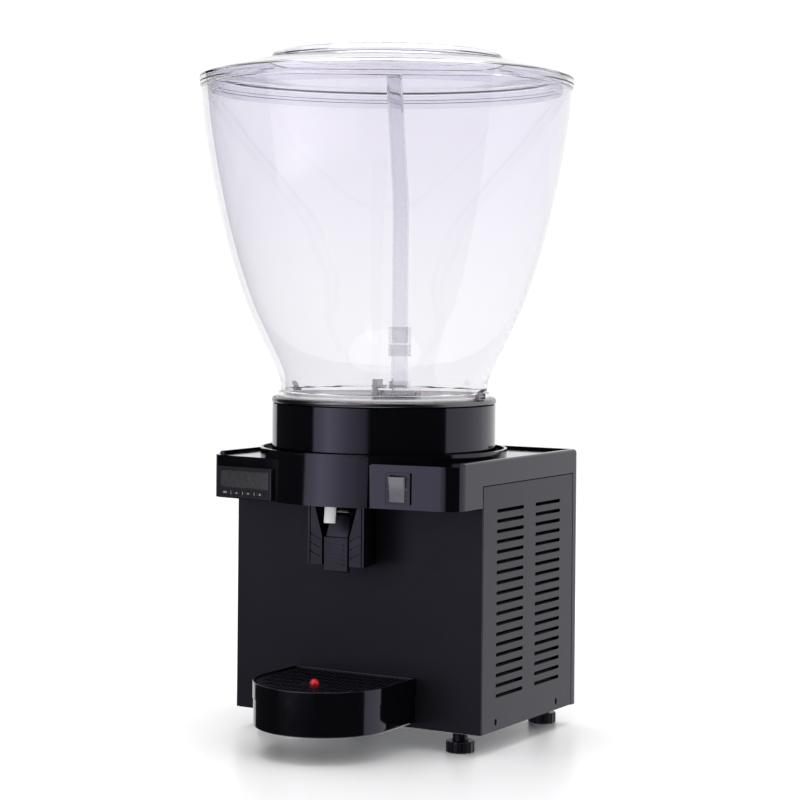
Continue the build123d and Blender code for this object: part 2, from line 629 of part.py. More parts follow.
def make_fountain_tube():
    """Short clear tube, joining sleeve, and the long tube that leans back to the bowl's axis."""
    lower = ring(LOWER_TUBE_R, LOWER_TUBE_R - 1.6, PUMP_TOP_Z - 0.4, 416.0, PUMP_X)
    save("fountain_tube_lower", lower)

    joint_z = 418.0
    sleeve = drum(11.85, *SLEEVE_Z, PUMP_X)
    sleeve -= drum(LOWER_TUBE_R, SLEEVE_Z[0] - 1, 416.0, PUMP_X)
    sleeve -= drum(TUBE_R, joint_z, SLEEVE_Z[1] + 1, PUMP_X)
    sleeve -= drum(6.4, 400, 440, PUMP_X)
    save("tube_sleeve", sleeve)

    bend_z = 568.0
    top_x = 8.6
    lean = atan2(PUMP_X - top_x, TUBE_TOP_Z - bend_z)
    bend_r = 500.0
    reach = bend_r * tan(lean / 2)
    straight = Line((PUMP_X, 0, joint_z), (PUMP_X, 0, bend_z - reach))
    bend_end = (PUMP_X - reach * sin(lean), 0, bend_z + reach * cos(lean))
    bend_mid = (
        PUMP_X - bend_r * (1 - cos(lean / 2)), 0, bend_z - reach + bend_r * sin(lean / 2)
    )
    bend = ThreePointArc((PUMP_X, 0, bend_z - reach), bend_mid, bend_end)
    leaning = Line(bend_end, (top_x, 0, TUBE_TOP_Z))
    path = Wire([straight, bend, leaning])
    save("fountain_tube_upper", swept_tube(path, TUBE_R, TUBE_WALL))


# ---------------------------------------------------------------- tap
def make_tap_housing():
    """Black tap block under the cover: tapering plan, V-shaped mouth, pocket for the lever."""
    side_y = TAP_FRONT_Y + 8
    back_half = 24.0
    plan = make_face(Polyline(
        (-TAP_HALF, TAP_FRONT_Y), (TAP_HALF, TAP_FRONT_Y), (TAP_HALF, side_y),
        (back_half, FRONT_Y), (-back_half, FRONT_Y), (-TAP_HALF, side_y), close=True,
    ))
    block = prism(plan, TAP_FOOT_Z, TAP_TOP_Z)
    mouth = make_face(Polyline((-27, TAP_TOP_Z + 1), (27, TAP_TOP_Z + 1), (16.6, 219), (-16.6, 219), close=True))
    block -= slab_front(mouth, TAP_FRONT_Y - 1, -66)
    block -= span_box((-16.6, 16.6), (TAP_FRONT_Y - 1, -66), (TAP_FOOT_Z - 1, 221))
    lip = 1.6
    for side in (-1, 1):
        groove_x = sorted((side * (TAP_HALF - 2.2), side * (TAP_HALF - 3.4)))
        block -= span_box(groove_x, (TAP_FRONT_Y - 1, TAP_FRONT_Y + lip), (TAP_FOOT_Z - 1, TAP_TOP_Z + 1))
        for level in (196.0, 205.0, 214.0):
            rib = Pos(side * 24.0, TAP_FRONT_Y, level + 4.0) * Rot(0, side * -24, 0) * Box(13.5, 2.4, 1.8)
            block -= rib
    block -= rod_x(PIVOT_R, -26, 26, PIVOT_Y, PIVOT_Z)
    save("tap_housing", block)


def make_outlet_tube():
    """Silicone tube from the cold plate down to the spout."""
    knee_z = 262.0
    knee_y = -104.0
    path = FilletPolyline(
        (0, OUTLET_Y, PLATE_TOP_Z - PLATE_SHEET - 0.1), (0, OUTLET_Y, 305.0), (0, knee_y, knee_z),
        (0, SPOUT_Y, SPOUT_TIP_Z), radius=60.0,
    )
    save("outlet_tube", swept_tube(path, SPOUT_R, 1.4))


PAD_W, PAD_H, PAD_T = 30.0, 36.0, 4.0
PAD_FOOT_Z = 182.5


def make_tap_lever():
    """Push lever: pad for the cup, two arms on the pivot and the bar that pinches the tube shut."""
    pad = span_box((-PAD_W / 2, PAD_W / 2), (TAP_FRONT_Y, TAP_FRONT_Y + PAD_T), (PAD_FOOT_Z, PAD_FOOT_Z + PAD_H))
    pad = fillet(pad.faces().sort_by(Axis.Y)[0].edges(), 1.2)
    for rib in range(-2, 3):
        pad += Pos(0, TAP_FRONT_Y - 0.15, PAD_FOOT_Z + PAD_H / 2 + rib * 5.0) * Box(19.0, 0.9, 1.4)
    lever = pad
    bar_y, bar_z = -117.0, 268.0
    for side in (-1, 1):
        lower = make_face(Polyline(
            (TAP_FRONT_Y + 0.5, 212), (TAP_FRONT_Y + PAD_T, 210),
            (PIVOT_Y + 4.5, PIVOT_Z - 1), (PIVOT_Y - 4.5, PIVOT_Z + 1), close=True,
        ))
        upper = make_face(Polyline(
            (PIVOT_Y - 2, PIVOT_Z + 4.4), (PIVOT_Y + 2, PIVOT_Z - 4.0),
            (bar_y + 1, bar_z - 5.4), (bar_y - 1, bar_z), close=True,
        ))
        for face in (lower, upper):
            arm = extrude(Plane.YZ * face, 2.0, both=True)
            lever += Pos(side * 11.0, 0, 0) * arm
        lever += rod_x(5.2, *sorted((side * 9.0, side * 13.0)), PIVOT_Y, PIVOT_Z)
    web = make_face(Polyline(
        (TAP_FRONT_Y + 0.5, 212), (TAP_FRONT_Y + 2.5, 211),
        (PIVOT_Y - 5.5, PIVOT_Z - 4), (PIVOT_Y - 7.5, PIVOT_Z - 3),
        close=True,
    ))
    lever += extrude(Plane.YZ * web, 12.0, both=True)
    lever += rod_x(3.0, -13.0, 13.0, bar_y, bar_z - 2)
    lever -= rod_x(PIVOT_R + RUNNING_GAP, -15, 15, PIVOT_Y, PIVOT_Z)
    save("tap_lever", lever)

    save("tap_lever_pin", rod_x(PIVOT_R - 0.02, -25.5, 25.5, PIVOT_Y, PIVOT_Z))

    spring_r, wire_r, turns = 4.2, 0.55, 6
    back, front = -66.6 - wire_r, TAP_FRONT_Y + PAD_T + 0.6 + wire_r
    length = back - front
    helix = Helix(pitch=length / turns, height=length, radius=spring_r)
    wire = sweep(Plane(origin=helix @ 0, z_dir=helix % 0) * Circle(wire_r), helix)
    save("tap_spring", Pos(0, back, 201.0) * Rot(90, 0, 0) * wire)


# ---------------------------------------------------------------- drip tray
def tray_outline():
    """Straight sides and a half-round front."""
    front = CenterArc((0, TRAY_ARC_Y), TRAY_HALF, 180, 180)
    sides = Polyline(
        (TRAY_HALF, TRAY_ARC_Y), (TRAY_HALF, TRAY_BACK_Y), (-TRAY_HALF, TRAY_BACK_Y), (-TRAY_HALF, TRAY_ARC_Y)
    )
    return make_face(Wire([front, *sides.edges()]))


def make_drip_tray():
    outline = tray_outline()
    band_z = 57.0
    tray = prism(offset(outline, -0.7, kind=Kind.INTERSECTION), TRAY_FOOT_Z, band_z)
    tray = fillet(tray.faces().sort_by(Axis.Z)[0].edges(), 2.0)
    tray += prism(outline, band_z, TRAY_TOP_Z)
    tray -= prism(offset(outline, -TRAY_WALL, kind=Kind.INTERSECTION), GRID_Z - 0.2, TRAY_TOP_Z + 1)
    tray -= prism(offset(outline, -2 * TRAY_WALL, kind=Kind.INTERSECTION), TRAY_FOOT_Z + TRAY_WALL, TRAY_TOP_Z)
    tray = fillet(tray.faces().sort_by(Axis.Z)[-1].edges(), 0.8)
    save("drip_tray", tray)

    grid_outline = offset(outline, -TRAY_WALL - 0.4, kind=Kind.INTERSECTION)
    grid = prism(grid_outline, GRID_Z, GRID_Z + 2.2)
    keep = offset(outline, -TRAY_WALL - 5.0, kind=Kind.INTERSECTION)
    slots = []
    slot_l, slot_w = 13.0, 3.0
    slot_reach = TRAY_HALF - 8.0
    for row in range(7):
        row_y = -66.0 - row * 17.5
        stagger = 3.15 if row % 2 else 0.0
        for column in range(-10, 11):
            x = column * 6.3 + stagger
            near_float = hypot(x, row_y - FLOAT_Y) < 13
            if near_float or abs(x) > slot_reach:
                continue
            arc_y = TRAY_ARC_Y - sqrt(slot_reach ** 2 - x ** 2)
            low_y = max(row_y - slot_l / 2, arc_y)
            if row_y + slot_l / 2 - low_y < 5:
                continue
            middle_y = (low_y + row_y + slot_l / 2) / 2
            slot = Pos(x, middle_y) * Rot(0, 0, 90) * SlotOverall(row_y + slot_l / 2 - low_y, slot_w)
            slots.append(prism(slot, GRID_Z - 1, GRID_Z + 4))
    grid -= slots
    grid -= drum(FLOAT_BALL_R + 0.6, GRID_Z - 1, GRID_Z + 4, 0, FLOAT_Y)
    save("drip_grid", grid)

    ball_z = GRID_Z + 3.0
    stem = drum(3.0, 40.0, ball_z, 0, FLOAT_Y)
    ball = Pos(0, FLOAT_Y, ball_z) * Sphere(FLOAT_BALL_R)
    disc = drum(15.0, 31.5, 41.0, 0, FLOAT_Y)
    disc = fillet(disc.edges().filter_by(GeomType.CIRCLE), 2.0)
    save("tray_float", stem + ball + disc)


def make_tray_bracket():
    """Two steel tongues fixed to the front panel that the tray slides onto."""
    tongues = []
    for x in (-52.0, 52.0):
        tongue = span_box((x - 8, x + 8), (-86.0, FRONT_Y), (TRAY_FOOT_Z - 1.6, TRAY_FOOT_Z - 0.1))
        tongues.append(tongue)
    save("tray_bracket", *tongues)


# ---------------------------------------------------------------- feet
def foot_places():
    return [(x, y) for y in (FOOT_FRONT_Y, FOOT_BACK_Y) for x in (-FOOT_X, FOOT_X)]


def make_feet():
    """Screw-in levelling feet with fluted bases."""
    names = ["front_left", "front_right", "back_left", "back_right"]
    flutes = 16
    for name, (x, y) in zip(names, foot_places()):
        base = drum(FOOT_R, 0, FOOT_BASE_H)
        base = fillet(base.edges().filter_by(GeomType.CIRCLE), 1.8)
        for number in range(flutes):
            base -= Rot(0, 0, number * 360 / flutes) * drum(1.5, -1, FOOT_BASE_H + 1, FOOT_R + 0.5)
        neck = drum(8.5, FOOT_BASE_H - 1, BASE_Z)
        stud = drum(3.9, BASE_Z - 1, BASE_Z + 13)
        save(f"foot_{name}", Pos(x, y, 0) * (base + neck + stud))


# ---------------------------------------------------------------- cooling unit
def make_compressor():
    """Hermetic compressor on rubber mounts."""
    x, y = COMPRESSOR
    low_z, high_z = 44.0, 186.0
    can = drum(COMPRESSOR_R, low_z, high_z, x, y)
    can = fillet(can.edges().filter_by(GeomType.CIRCLE).sort_by(Axis.Z)[-1], 30.0)
    can = fillet(can.edges().filter_by(GeomType.CIRCLE).sort_by(Axis.Z)[0], 14.0)
    can += ring(COMPRESSOR_R + 2.5, COMPRESSOR_R - 2, 108.0, 113.0, x, y)
    base = span_box((x - 58, x + 58), (y - 42, y + 42), (40.0, 44.2))
    base = fillet(base.edges().filter_by(Axis.Z), 10.0)
    mounts = [(x + dx, y + dy) for dx in (-48, 48) for dy in (-32, 32)]
    for mount_x, mount_y in mounts:
        base -= drum(6.2, 39, 45, mount_x, mount_y)
    save("compressor", can + base)

    grommets = []
    for mount_x, mount_y in mounts:
        grommet = drum(10.0, BASE_Z + 1.5, 39.8, mount_x, mount_y) + drum(6.0, 39.0, 47.0, mount_x, mount_y)
        grommets.append(grommet)
    save("compressor_mounts", *grommets)

    start_box = span_box((x - 22, x + 22), (y - COMPRESSOR_R - 24, y - COMPRESSOR_R - 2.8), (96, 140))
    start_box = fillet(start_box.edges().filter_by(Axis.Z), 3.0)
    save("start_relay_box", start_box)


def make_condenser():
    """Finned tube bundle behind the right louvres."""
    fins = []
    fin_count = 24
    x0, x1 = CONDENSER_X
    y0, y1 = CONDENSER_Y
    z0, z1 = CONDENSER_Z
    tube_r = 3.5
    passes = [z0 + 15 + number * 24.0 for number in range(6)]
    columns = (x0 + 9, x1 - 9)
    bores = [rod_y(tube_r + 0.02, x, y0 - 1, y1 + 1, z) for x in columns for z in passes]
    pitch = (y1 - y0 - 8) / (fin_count - 1)
    fin = span_box((x0, x1), (y0 + 4, y0 + 4.5), (z0, z1)) - bores
    for number in range(fin_count):
        fins.append(Pos(0, number * pitch, 0) * fin)
    save("condenser_fins", *fins)

    tubes = []
    for x in columns:
        lines = []
        for number, z in enumerate(passes):
            start, end = ((y0 - 2, y1 + 2), (y1 + 2, y0 - 2))[number % 2]
            lines.append(Line((x, start, z), (x, end, z)))
            if number + 1 < len(passes):
                sweep_y = end + (12.0 if number % 2 == 0 else -12.0)
                lines.append(ThreePointArc((x, end, z), (x, sweep_y, z + 12.0), (x, end, z + 24.0)))
        tubes.append(swept_rod(Wire(lines), tube_r))
    save("condenser_tubes", *tubes)


def make_fan():
    """Axial fan between compressor and condenser, blowing along X."""
    x, y, z = FAN_AXIS
    along_x = Pos(x, y, z) * Rot(0, 90, 0)
    frame = span_box((x + 12, x + 30), (y - 66, y + 66), (BASE_Z + 1.6, z + 70))
    frame -= along_x * Pos(0, 0, 20) * Cylinder(58.0, 60)
    save("fan_shroud", frame)

    motor = along_x * Pos(0, 0, -16) * Cylinder(19.0, 30)
    motor += along_x * Pos(0, 0, 4) * Cylinder(3.0, 12)
    strut = span_box((x - 20, x - 2), (y - 3, y + 3), (BASE_Z + 1.6, z - 10))
    save("fan_motor", motor + strut)

    hub = along_x * Pos(0, 0, 14) * Cylinder(15.0, 14)
    blades = 5
    for number in range(blades):
        blade = Rot(0, 0, number * 360 / blades) * Pos(34.0, 0, 14) * Rot(28, 0, 0) * Box(42.0, 24.0, 1.4)
        hub += along_x * blade
    hub -= along_x * Pos(0, 0, 8) * Cylinder(3.0 + RUNNING_GAP, 4.6)
    save("fan_blades", hub)


def make_refrigerant_lines():
    """Filter drier and the copper lines between compressor, condenser and evaporator."""
    drier_x, drier_y = 40.0, 140.0
    drier = drum(9.0, 70.0, 150.0, drier_x, drier_y)
    drier = fillet(drier.edges().filter_by(GeomType.CIRCLE), 6.0)
    save("filter_drier", drier)

    x, y = COMPRESSOR
    pipe_r = 2.4
    coil_foot_z = COIL_Z - COIL_TUBE_R - 0.1
    suction = FilletPolyline(
        (x - 30, y + 20, 180.0), (x - 30, y + 20, 245.0), (60.0, 60.0, 255.0), (*COIL_END, 262.0),
        (*COIL_END, coil_foot_z), radius=12.0,
    )
    discharge = FilletPolyline(
        (x + 30, y + 24, 178.0), (x + 30, y + 24, 214.0), (x + 70, 132.0, 214.0), (100.9, 141.5, 204.0), radius=10.0
    )
    liquid = FilletPolyline(
        (drier_x, drier_y, 148.0), (drier_x, drier_y, 262.0), (*COIL_START, 270.0), (*COIL_START, coil_foot_z),
        radius=12.0,
    )
    save("refrigerant_lines", *[swept_rod(path, pipe_r) for path in (suction, discharge, liquid)])


make_base_pan()
make_front_panel()
make_side_panel("side_panel_left", -1)
make_side_panel("side_panel_right", 1)
make_rear_panel()
make_top_cover()
make_controller()
make_switch()
make_collar()
make_insulation()
make_cold_plate()
make_evaporator()
make_bowl()
make_gasket()
make_lid()
make_latches()
make_pump()
make_fountain_tube()
make_tap_housing()
make_outlet_tube()
make_tap_lever()
make_drip_tray()
make_tray_bracket()
make_feet()
make_compressor()
make_condenser()
make_fan()
make_refrigerant_lines()
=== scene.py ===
from math import cos, radians, sin

import bmesh
import bpy
from mathutils import Matrix, Vector


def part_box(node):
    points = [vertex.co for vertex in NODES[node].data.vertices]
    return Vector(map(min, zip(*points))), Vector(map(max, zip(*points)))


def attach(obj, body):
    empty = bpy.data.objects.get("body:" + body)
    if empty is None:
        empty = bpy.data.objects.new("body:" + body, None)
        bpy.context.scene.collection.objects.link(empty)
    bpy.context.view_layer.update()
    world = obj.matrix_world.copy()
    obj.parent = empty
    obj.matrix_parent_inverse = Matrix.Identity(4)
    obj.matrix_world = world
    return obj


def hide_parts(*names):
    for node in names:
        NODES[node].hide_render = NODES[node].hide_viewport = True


# Looks of the single-bowl drink fountain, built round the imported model. Metres, row frame.

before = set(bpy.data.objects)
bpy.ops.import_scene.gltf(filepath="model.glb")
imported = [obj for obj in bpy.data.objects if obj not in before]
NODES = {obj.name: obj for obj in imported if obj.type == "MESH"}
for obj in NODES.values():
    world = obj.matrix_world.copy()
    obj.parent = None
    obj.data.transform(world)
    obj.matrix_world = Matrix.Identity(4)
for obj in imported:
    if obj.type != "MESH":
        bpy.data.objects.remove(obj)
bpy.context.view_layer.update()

MM = 0.001

# ---------------------------------------------------------------- camera
CAMERA_PLACE = (1.2252, -2.0480, 0.4777)
CAMERA_YAW = 30.41          # degrees to the left of straight at the front
CAMERA_ROLL = 0.516
CAMERA_LENS = 100.54
CAMERA_SHIFT = (-0.0048, -0.142)

# ---------------------------------------------------------------- studio
SURROUND_R = 3.7            # wall of light and shade that only the glossy surfaces see
SURROUND_LOW = -4.0
SURROUND_HIGH = 4.0
SHADE_FROM = -112.0         # degrees round from the front, + towards the right
SHADE_TO = 96.0
SHADE_RADIANCE = 0.03
SOFTBOX_PEAK = 2.2
# (degrees round from the front, radiance) across the softbox
SOFTBOX_PROFILE = [
    (-45.5, 0.03), (-43.5, 1.2), (-35, 1.6), (-27, 2.2), (-16, 1.75),
    (-5, 1.15), (6, 0.82), (13, 0.55), (17, 0.03),
]

# ---------------------------------------------------------------- shapes redrawn smoother, in mm
FACET_SWEEP = 6.5           # degrees that the controller's facet leans back to its left
BOWL_WALL = 3.0
# (radius, height) where the outside of the bowl passes, from the neck to the rim
BOWL_FLARE = [
    (110.0, 372.0), (114.3, 387.5), (144.7, 451.6), (166.1, 515.7),
    (181.3, 579.8), (192.6, 643.9), (197.6, 688.7),
]
BOWL_FOOT = [(107.0, 362.0), (112.4, 362.0), (112.4, 365.4)]
BOWL_RIM = [(199.0, 689.5), (199.0, 692.2), (198.6, 692.5), (194.6, 692.5)]
LID_RIM = [(193.6, 692.8), (199.2, 692.8), (199.6, 693.2), (199.6, 699.0), (198.4, 700.2)]
LID_SHOULDER = ((198.4, 700.2), (165.0, 709.6), (127.1, 717.4))
LID_CROWN = ((123.6, 721.6), (121.0, 724.6), (117.1, 725.6))
LID_CENTRE = [(0.0, 727.0), (0.0, 724.6), (116.6, 723.2), (120.6, 720.4)]
LID_SHOULDER_UNDER = ((126.1, 715.0), (164.0, 707.3), (186.0, 700.8))
LID_PLUG = [(186.0, 682.6), (188.4, 682.6), (188.4, 697.2), (193.6, 696.6)]
NECK_CORNER = (110.0, 366.6)        # where the neck leaves its foot flange
SHARP_ANGLE = 32                    # degrees, edges sharper than this stay crisp

# ---------------------------------------------------------------- pieces without a CAD node, in mm
KEY_PITCH = 16.0
SHADE_SHEET_THICKNESS = 2.0
SHADE_SHEET_PLACES = {"louvre_shade_sheet_left": -143.6, "louvre_shade_sheet_right": 141.6}     # X of each sheet's left face; the sheets are painted shade behind the louvres
SHADE_SHEET_Y = (-34, 134)
SHADE_SHEET_Z = (39, 261)
SHADE_SHEET_CORNER = 3

# ---------------------------------------------------------------- light
WORLD_STRENGTH = 1.1
LAMP_SIZE = 2.6
LAMP_POWER = 42.0
LAMP_PLACE = (0.0, 0.2, 3.0)
FLOOR_REACH = 9.0


# ---------------------------------------------------------------- node helpers
def add_node(tree, kind, inputs=None, **settings):
    """A shader node with its settings, and its sockets set or linked from a dict."""
    node = tree.nodes.new(kind)
    for name, value in settings.items():
        setattr(node, name, value)
    for name, value in (inputs or {}).items():
        if isinstance(value, bpy.types.NodeSocket):
            tree.links.new(value, node.inputs[name])
        else:
            node.inputs[name].default_value = value
    return node


def math_node(tree, operation, a, b=0.0, c=0.0, clamp=False):
    inputs = {0: a, 1: b, 2: c}
    return add_node(tree, "ShaderNodeMath", inputs, operation=operation, use_clamp=clamp).outputs[0]


def map_range(tree, value, low, high, to_low=0.0, to_high=1.0, smooth=False):
    kind = "SMOOTHSTEP" if smooth else "LINEAR"
    inputs = {"Value": value, "From Min": low, "From Max": high, "To Min": to_low, "To Max": to_high}
    return add_node(tree, "ShaderNodeMapRange", inputs, interpolation_type=kind).outputs["Result"]


def object_place(tree):
    return add_node(tree, "ShaderNodeTexCoord").outputs["Object"]


def stretched(tree, place, scale):
    return add_node(tree, "ShaderNodeMapping", {"Vector": place, "Scale": scale}).outputs["Vector"]


def noise(tree, place, scale, detail=2.0, roughness=0.5):
    inputs = {"Vector": place, "Scale": scale, "Detail": detail, "Roughness": roughness}
    return add_node(tree, "ShaderNodeTexNoise", inputs).outputs["Fac"]


def bump(tree, height, distance, strength=1.0, under=None):
    inputs = {"Height": height, "Distance": distance, "Strength": strength}
    if under is not None:
        inputs["Normal"] = under
    return add_node(tree, "ShaderNodeBump", inputs).outputs["Normal"]


def mixed(tree, share, a, b):
    node = add_node(tree, "ShaderNodeMix", data_type="RGBA")
    for index, value in ((0, share), (6, a), (7, b)):
        if isinstance(value, bpy.types.NodeSocket):
            tree.links.new(value, node.inputs[index])
        else:
            node.inputs[index].default_value = value
    return node.outputs[2]


def shade(colour, factor):
    return tuple(min(1.0, channel * factor) for channel in colour[:3]) + (1.0,)


def new_material(name, **constants):
    """A material and its shader, with the values that are the same all over set on the shader."""
    material = bpy.data.materials.new(name)
    material.use_nodes = True
    tree = material.node_tree
    shader = tree.nodes["Principled BSDF"]
    for socket, value in constants.items():
        shader.inputs[socket.replace("_", " ")].default_value = value
    return material, tree, shader


def link(tree, output, shader, socket):
    tree.links.new(output, shader.inputs[socket])


def plastic(name, colour, roughness, vary=0.15, spread=0.04, grain=900.0, depth=0.00002, **constants):
    """Moulded or painted surface: slow change of shade, uneven gloss and a fine grain."""
    material, tree, shader = new_material(name, **constants)
    place = object_place(tree)
    slow = noise(tree, place, 14.0, 3.0)
    cloud = map_range(tree, slow, 0.3, 0.7)
    link(tree, mixed(tree, cloud, shade(colour, 1 - vary), shade(colour, 1 + vary)), shader, "Base Color")
    patchy = noise(tree, place, 55.0, 4.0, 0.6)
    link(tree, map_range(tree, patchy, 0.3, 0.7, roughness - spread, roughness + spread), shader, "Roughness")
    fine = noise(tree, place, grain, 2.0)
    link(tree, bump(tree, fine, depth), shader, "Normal")
    return material


def metal(name, colour, roughness, stretch=(1, 1, 1), lines=600.0, depth=0.00001, spread=0.06):
    """Bare metal with fine drawn lines, which run along the axis whose stretch is smallest."""
    material, tree, shader = new_material(name, Metallic=1.0)
    place = object_place(tree)
    drawn = noise(tree, stretched(tree, place, stretch), lines, 3.0, 0.6)
    cloud = noise(tree, place, 20.0, 2.0)
    tint = map_range(tree, cloud, 0.3, 0.7)
    link(tree, mixed(tree, tint, shade(colour, 0.88), shade(colour, 1.06)), shader, "Base Color")
    link(tree, map_range(tree, drawn, 0.3, 0.7, roughness - spread, roughness + spread), shader, "Roughness")
    link(tree, bump(tree, drawn, depth), shader, "Normal")
    return material


# ---------------------------------------------------------------- materials
def turned_stainless():
    """Brushed stainless of the cold plate: the brush lines run round the bowl's axis."""
    material, tree, shader = new_material("stainless", Metallic=1.0)
    split = add_node(tree, "ShaderNodeSeparateXYZ", {0: object_place(tree)})
    square = math_node(tree, "MULTIPLY", split.outputs[0], split.outputs[0])
    square_y = math_node(tree, "MULTIPLY", split.outputs[1], split.outputs[1])
    radius = math_node(tree, "SQRT", math_node(tree, "ADD", square, square_y))
    rings = add_node(tree, "ShaderNodeCombineXYZ", {0: radius, 1: split.outputs[2]}).outputs[0]
    drawn = noise(tree, rings, 1500.0, 3.0, 0.7)
    cloud = noise(tree, object_place(tree), 25.0, 3.0)
    link(tree, mixed(tree, cloud, (0.115, 0.114, 0.122, 1), (0.165, 0.163, 0.172, 1)), shader, "Base Color")
    link(tree, map_range(tree, drawn, 0.3, 0.7, 0.2, 0.34), shader, "Roughness")
    link(tree, bump(tree, drawn, 0.00001), shader, "Normal")
    return material


def clear_plastic(name, low_tint, painted_top_shade_tint, edge_tint, roughness, ior, waviness):
    """Clear moulded plastic: painted shade deepens its tint towards the top, and its tint deepens where the
    wall is seen edge on.
    """
    material, tree, shader = new_material(name, Transmission_Weight=1.0, IOR=ior)
    facing = add_node(tree, "ShaderNodeLayerWeight", {"Blend": 0.35}).outputs["Facing"]
    edge = math_node(tree, "POWER", facing, 2.0)
    place = object_place(tree)
    height = add_node(tree, "ShaderNodeSeparateXYZ", {0: place}).outputs[2]
    # painted shade: the tint darkens and turns more violet towards the top of the part
    painted_light_ramp = map_range(tree, height, 0.42, 0.66, smooth=True)
    tint_and_painted_top_shade = mixed(tree, painted_light_ramp, low_tint, painted_top_shade_tint)
    link(tree, mixed(tree, edge, tint_and_painted_top_shade, edge_tint), shader, "Base Color")
    haze = noise(tree, place, 30.0, 3.0)
    link(tree, map_range(tree, haze, 0.35, 0.65, roughness, roughness + 0.02), shader, "Roughness")
    wave = noise(tree, stretched(tree, place, (1, 1, 0.4)), 22.0, 2.0)
    link(tree, bump(tree, wave, waviness), shader, "Normal")
    return material


def galvanised():
    """Zinc-coated sheet with its spangle."""
    material, tree, shader = new_material("galvanised", Metallic=1.0)
    place = object_place(tree)
    inputs = {"Vector": place, "Scale": 110.0}
    cell = add_node(tree, "ShaderNodeTexVoronoi", inputs).outputs["Color"]
    grey = add_node(tree, "ShaderNodeRGBToBW", {0: cell}).outputs[0]
    link(tree, mixed(tree, grey, (0.42, 0.43, 0.45, 1), (0.6, 0.61, 0.63, 1)), shader, "Base Color")
    link(tree, map_range(tree, grey, 0.2, 0.8, 0.34, 0.5), shader, "Roughness")
    link(tree, bump(tree, noise(tree, place, 700.0), 0.00002), shader, "Normal")
    return material


def rocker_light():
    """Smoke-white rocker that lets some light through, with a painted highlight that makes it paler near its
    top.
    """
    material, tree, shader = new_material("rocker_light", Transmission_Weight=0.35, IOR=1.49, Roughness=0.28)
    place = object_place(tree)
    low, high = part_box("switch_rocker")
    split = add_node(tree, "ShaderNodeSeparateXYZ", {0: place})
    painted_light_ramp = map_range(tree, split.outputs[2], low.z, high.z, smooth=True)
    cloud = noise(tree, place, 240.0, 3.0)
    # painted highlight: paler towards the top, mixed with a random change of tone
    height = math_node(tree, "MULTIPLY_ADD", cloud, 0.25, painted_light_ramp)
    link(tree, mixed(tree, height, (0.09, 0.086, 0.1, 1), (0.27, 0.26, 0.29, 1)), shader, "Base Color")
    link(tree, bump(tree, noise(tree, place, 1200.0), 0.00002), shader, "Normal")
    return material


def smoked_window():
    """Smoked display window: dark, glossy, and just clear enough to show the digits behind it."""
    material, tree, shader = new_material("display_tint", Transmission_Weight=0.85, IOR=1.49)
    place = object_place(tree)
    cloud = noise(tree, place, 40.0, 2.0)
    link(tree, mixed(tree, cloud, (0.16, 0.154, 0.168, 1), (0.2, 0.192, 0.208, 1)), shader, "Base Color")
    link(tree, map_range(tree, cloud, 0.3, 0.7, 0.12, 0.18), shader, "Roughness")
    return material


def foam_material():
    material, tree, shader = new_material("foam", Roughness=0.9)
    place = object_place(tree)
    inputs = {"Vector": place, "Scale": 420.0}
    cells = add_node(tree, "ShaderNodeTexVoronoi", inputs).outputs["Distance"]
    link(tree, mixed(tree, cells, (0.75, 0.68, 0.5, 1), (0.5, 0.43, 0.28, 1)), shader, "Base Color")
    link(tree, bump(tree, cells, 0.0008), shader, "Normal")
    return material


def copper_material():
    material, tree, shader = new_material("copper", Metallic=1.0)
    place = object_place(tree)
    stain = map_range(tree, noise(tree, place, 35.0, 5.0, 0.65), 0.4, 0.7)
    link(tree, mixed(tree, stain, (0.86, 0.46, 0.3, 1), (0.42, 0.2, 0.13, 1)), shader, "Base Color")
    link(tree, map_range(tree, stain, 0.0, 1.0, 0.22, 0.5), shader, "Roughness")
    link(tree, bump(tree, noise(tree, place, 300.0), 0.00002), shader, "Normal")
    return material


